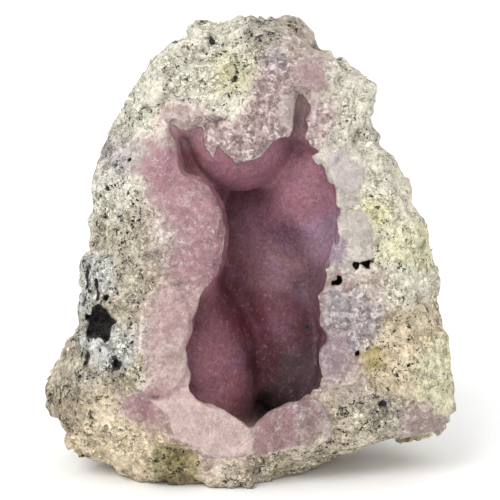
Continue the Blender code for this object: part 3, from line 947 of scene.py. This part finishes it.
def matrix_look(surface):
    """The porous rock: pale crumbs over dull gaps, with black pores and broken dark cracks. The
    crumbs' pale tops are partly painted light, the dull gaps partly painted shade, and the pores and
    cracks painted shade.
    """
    coarse = surface.attribute("coarse")
    tint = surface.attribute("tint", "Color")
    tint = surface.shade(tint, 0.96, 1.56, surface.noise(5.0, 5, 0.7))
    lumps = surface.noise(1.9, 5, 0.75)
    grit = surface.noise(0.8, 4, 0.85)
    height = surface.plus(surface.times(lumps, 0.55), surface.times(grit, 0.45))
    # Painted shade and light: where the bumped relief is low it is painted dull olive brown, partly
    # the rock's own colour and partly shade, and where it is high the crumbs are painted pale, as
    # where light falls.
    light_and_shade_height = surface.math("SUBTRACT", height, surface.times(coarse, 0.030))
    greener = surface.ramp(surface.noise(3.5, 3), 0.42, 0.60)
    dull = surface.mix(greener, PAINTS["dull"], PAINTS["dull_green"])
    dull = surface.mix(0.28, dull, tint)
    colour = surface.mix(surface.ramp(light_and_shade_height, 0.365, 0.465), dull, tint)
    pale = surface.mix(0.50, surface.shade(tint, 1.0, 1.2, lumps), PAINTS["crumb"])
    colour = surface.mix(surface.ramp(light_and_shade_height, 0.47, 0.56), colour, pale)
    rugged = surface.plus(surface.noise(7.0, 3, 0.7), surface.times(coarse, 0.05))
    rugged = surface.ramp(rugged, 0.48, 0.66)
    crumbs = surface.shade(colour, 0.70, 1.22, surface.fragments(0.9))
    colour = surface.mix(surface.ramp(rugged, 0.0, 1.0, 0.25, 0.9), colour, crumbs)
    colour = surface.shade(colour, 0.80, 1.12, surface.ramp(surface.noise(2.4, 4, 0.8), 0.36, 0.60))
    # Painted shade: dark lines in the cracks between crumbs.
    between = surface.ramp(surface.fragments(0.9, "DISTANCE_TO_EDGE"), 0.02, 0.17, 0.75, 0.0)
    between = surface.times(between, surface.ramp(surface.noise(2.4, 3), 0.42, 0.56))
    between = surface.times(between, surface.ramp(rugged, 0.0, 1.0, 0.15, 1.0))
    colour = surface.mix(between, colour, PAINTS["shade_between_crumbs"])
    # Painted shade: black pores and cracks, drawn only in colour and bump.
    holes = surface.times(coarse, 0.035)
    small = surface.ramp(surface.plus(surface.noise(0.8, 3, 0.7), holes), 0.63, 0.67)
    large = surface.ramp(surface.plus(surface.noise(1.5, 4, 0.8), holes), 0.625, 0.665)
    clustered = surface.ramp(surface.plus(surface.noise(4.4, 3, 0.7), holes), 0.49, 0.58)
    hole = surface.times(surface.math("MAXIMUM", small, large), clustered)
    gaps = surface.ramp(surface.fragments(1.7, "DISTANCE_TO_EDGE"), 0.01, 0.08, 0.8, 0.0)
    gaps = surface.times(gaps, surface.ramp(surface.noise(2.6, 3), 0.50, 0.58))
    gaps = surface.times(gaps, surface.ramp(coarse, 1.0, 1.7, 0.10, 0.50))
    hole = surface.math("MAXIMUM", hole, gaps)
    stain = surface.ramp(surface.noise(1.7, 3, 0.7), 0.58, 0.68, 0.0, 0.45)
    colour = surface.mix(stain, colour, PAINTS["stain"])
    colour = surface.mix(hole, colour, PAINTS["pore"])
    return colour, surface.math("SUBTRACT", height, surface.times(hole, 0.3))


def crust_look(surface):
    """The broken crust: waxy pink, with pale uneven fragments where it is coarse."""
    coarse = surface.attribute("coarse")
    cloud = surface.noise(3.2, 5, 0.7)
    colour = surface.shade(surface.attribute("tint", "Color"), 0.62, 1.36, cloud)
    grit = surface.noise(0.8, 5, 0.85)
    colour = surface.shade(colour, 0.80, 1.20, grit)
    large, small = surface.fragments(1.1), surface.fragments(0.5)
    broken_up = surface.plus(surface.times(large, 0.55), surface.times(small, 0.45))
    grains = surface.shade(colour, 0.45, 1.42, broken_up)
    high = surface.ramp(broken_up, 0.68, 0.82, 0.0, 0.60)
    low = surface.ramp(broken_up, 0.38, 0.22, 0.0, 0.50)
    grains = surface.mix(high, grains, PAINTS["pale_grain"])
    grains = surface.mix(low, grains, PAINTS["dark_grain"])
    colour = surface.mix(coarse, colour, grains)
    patches = surface.ramp(surface.noise(2.4, 3), 0.44, 0.56)
    feathers = surface.times(surface.lines(1.8, 0.016), patches)
    colour = surface.mix(surface.times(feathers, 0.65), colour, PAINTS["feather"])
    frost = surface.times(surface.ramp(surface.noise(1.1, 5, 0.85), 0.56, 0.64), 0.34)
    colour = surface.mix(frost, colour, PAINTS["frost"])
    fibres = surface.streaks(surface.attribute("fibre_angle"), 22.0)
    fibres = surface.shade(colour, 0.70, 1.30, fibres)
    colour = surface.mix(surface.attribute("fibre_strength"), colour, fibres)
    edges = surface.times(surface.attribute("edge"), 0.45)
    marks = surface.math("MAXIMUM", surface.attribute("bruise"), edges)
    marks = surface.times(marks, surface.ramp(grit, 0.42, 0.62, 0.0, 0.7))
    colour = surface.mix(marks, colour, PAINTS["bruise"])
    # Painted shade: the crust is darker where its rounded lobes meet.
    colour = surface.shade(colour, 1.0, 0.84, surface.attribute("crease_shade"))
    height = surface.times(broken_up, surface.ramp(coarse, 0.0, 1.0, 0.10, 1.0))
    height = surface.plus(height, cloud)
    return colour, surface.plus(height, surface.times(grit, 0.3))


def lining_look(surface):
    """The unbroken lining: clouded mauve pink with a fine sugary grain and painted glints."""
    cloud = surface.noise(5.2, 5, 0.6)
    colour = surface.shade(surface.attribute("lining_tint", "Color"), 0.66, 1.32, cloud)
    violet = surface.shade(PAINTS["violet"], 0.7, 1.2, surface.noise(2.0, 3))
    colour = surface.mix(surface.ramp(surface.noise(6.0, 3), 0.50, 0.70, 0.0, 0.24), colour, violet)
    grain = surface.ramp(surface.noise(0.8, 4, 0.9), 0.38, 0.62)
    colour = surface.shade(colour, 0.80, 1.22, grain)
    bloom = surface.ramp(surface.noise(1.2, 5, 0.9), 0.54, 0.66, 0.0, 0.28)
    colour = surface.mix(bloom, colour, PAINTS["bloom"])
    # Painted glints: tiny pale specks where the lining's small crystals catch the light.
    painted_glint = surface.ramp(surface.noise(0.45, 2, 0.6), 0.68, 0.76, 0.0, 0.25)
    return surface.mix(painted_glint, colour, PAINTS["painted_glint"])


def stone_material(name, translucence):
    """Rock, broken crust and lining, each shown where the mesh's attributes say."""
    surface = Surface(name)
    wobble = surface.math("SUBTRACT", surface.noise(1.1, 4, 0.7), 0.5)
    is_broken = surface.plus(surface.attribute("broken"), surface.times(wobble, 0.5))
    is_broken = surface.ramp(is_broken, 0.40, 0.60)
    patchy = surface.math("SUBTRACT", surface.noise(3.0, 4, 0.7), 0.5)
    is_crust = surface.plus(surface.attribute("crusty"), surface.plus(wobble, patchy))
    is_crust = surface.ramp(is_crust, 0.36, 0.62)
    rock_colour, rock_height = matrix_look(surface)
    crust_colour, crust_height = crust_look(surface)
    colour = surface.mix(is_crust, rock_colour, crust_colour)
    colour = surface.mix(is_broken, lining_look(surface), colour)
    # Painted highlight: a pale band along the rim, where the broken face meets the lining.
    lip = surface.math("ABSOLUTE", surface.math("SUBTRACT", is_broken, 0.5))
    colour = surface.mix(surface.ramp(lip, 0.1, 0.5, 0.4, 0.0), colour, PAINTS["lip"])
    # Painted shade: the floors of the pits and cracks are painted near black, with ragged edges.
    torn = surface.math("SUBTRACT", surface.noise(0.9, 5, 0.85), 0.5)
    ragged = surface.plus(surface.attribute("pit"), surface.times(torn, 2.6))
    deep = surface.shade(PAINTS["deep"], 0.1, 2.4, surface.ramp(torn, -0.10, 0.12))
    colour = surface.mix(surface.ramp(ragged, 0.52, 0.62), colour, deep)
    is_rock = surface.times(surface.math("SUBTRACT", 1.0, is_crust), is_broken)
    is_crust = surface.times(is_crust, is_broken)
    skin = surface.plus(surface.noise(0.45, 2, 0.7), surface.noise(1.6, 3, 0.6))
    normal = surface.bump(skin, 0.12)
    normal = surface.bump(surface.times(crust_height, is_crust), 0.70, normal)
    normal = surface.bump(surface.times(rock_height, is_rock), 1.60, normal)
    surface.put(surface.shader.inputs["Base Color"], colour)
    matt = surface.ramp(is_rock, 0.0, 1.0, 0.62, 0.92)
    matt = surface.plus(matt, surface.times(is_crust, -0.16))
    surface.put(surface.shader.inputs["Roughness"], matt)
    surface.put(surface.shader.inputs["Normal"], normal)
    surface.shader.inputs["Specular IOR Level"].default_value = 0.35
    surface.shader.inputs["Subsurface Weight"].default_value = translucence
    surface.shader.inputs["Subsurface Radius"].default_value = (1.0, 0.45, 0.5)
    surface.shader.inputs["Subsurface Scale"].default_value = 1.0 * MM
    return surface.material


# ---------------------------------------------------------------- camera and studio

def add_camera():
    data = bpy.data.cameras.new("camera")
    data.sensor_width = 36
    data.lens = data.sensor_width * CAMERA_DISTANCE / FRAME_WIDTH
    data.clip_start, data.clip_end = 0.01, 10
    camera = bpy.data.objects.new("camera", data)
    bpy.context.scene.collection.objects.link(camera)
    camera.matrix_world = (
        Matrix.Translation(Vector(FACE_ORIGIN) * MM)
        @ Matrix.Rotation(-FACE_LEAN, 4, "X")
        @ Matrix.Translation((0, -CAMERA_DISTANCE * MM, 0))
        @ Matrix.Rotation(math.pi / 2, 4, "X")
    )
    bpy.context.scene.camera = camera


def add_studio():
    """A plain pale floor, an even white sky and one soft key light from the upper left."""
    mesh = bpy.data.meshes.new("floor")
    corners = [
        (across * FLOOR_HALF, along * FLOOR_HALF, 0)
        for across, along in ((-1, -1), (1, -1), (1, 1), (-1, 1))
    ]
    mesh.from_pydata(corners, [], [(0, 1, 2, 3)])
    material = bpy.data.materials.new("floor")
    material.use_nodes = True
    shader = material.node_tree.nodes["Principled BSDF"]
    shader.inputs["Base Color"].default_value = (0.96, 0.96, 0.96, 1)
    shader.inputs["Roughness"].default_value = 0.9
    add_piece("floor", mesh, material)
    key = bpy.data.lights.new("key", "SUN")
    key.energy, key.angle = KEY_STRENGTH, KEY_SOFTNESS
    light = bpy.data.objects.new("key", key)
    bpy.context.scene.collection.objects.link(light)
    light.rotation_mode = "QUATERNION"
    light.rotation_quaternion = Vector(KEY_DIRECTION).to_track_quat("-Z", "Y")
    world = bpy.data.worlds.new("studio")
    world.use_nodes = True
    background = world.node_tree.nodes["Background"]
    background.inputs["Color"].default_value = (1, 1, 1, 1)
    background.inputs["Strength"].default_value = SKY_STRENGTH
    bpy.context.scene.world = world
    bpy.context.scene.view_settings.view_transform = "Standard"


add_camera()
add_studio()
rough = roughness_lattice()
crust = add_piece("pink_crust", shape_crust(rough), stone_material("pink_smithsonite", 0.25))
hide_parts("smithsonite_crust")
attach(crust, "root")
rock = add_piece("porous_rock", shape_rock(rough), stone_material("porous_matrix", 0.0))
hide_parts("host_rock")
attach(rock, "root")
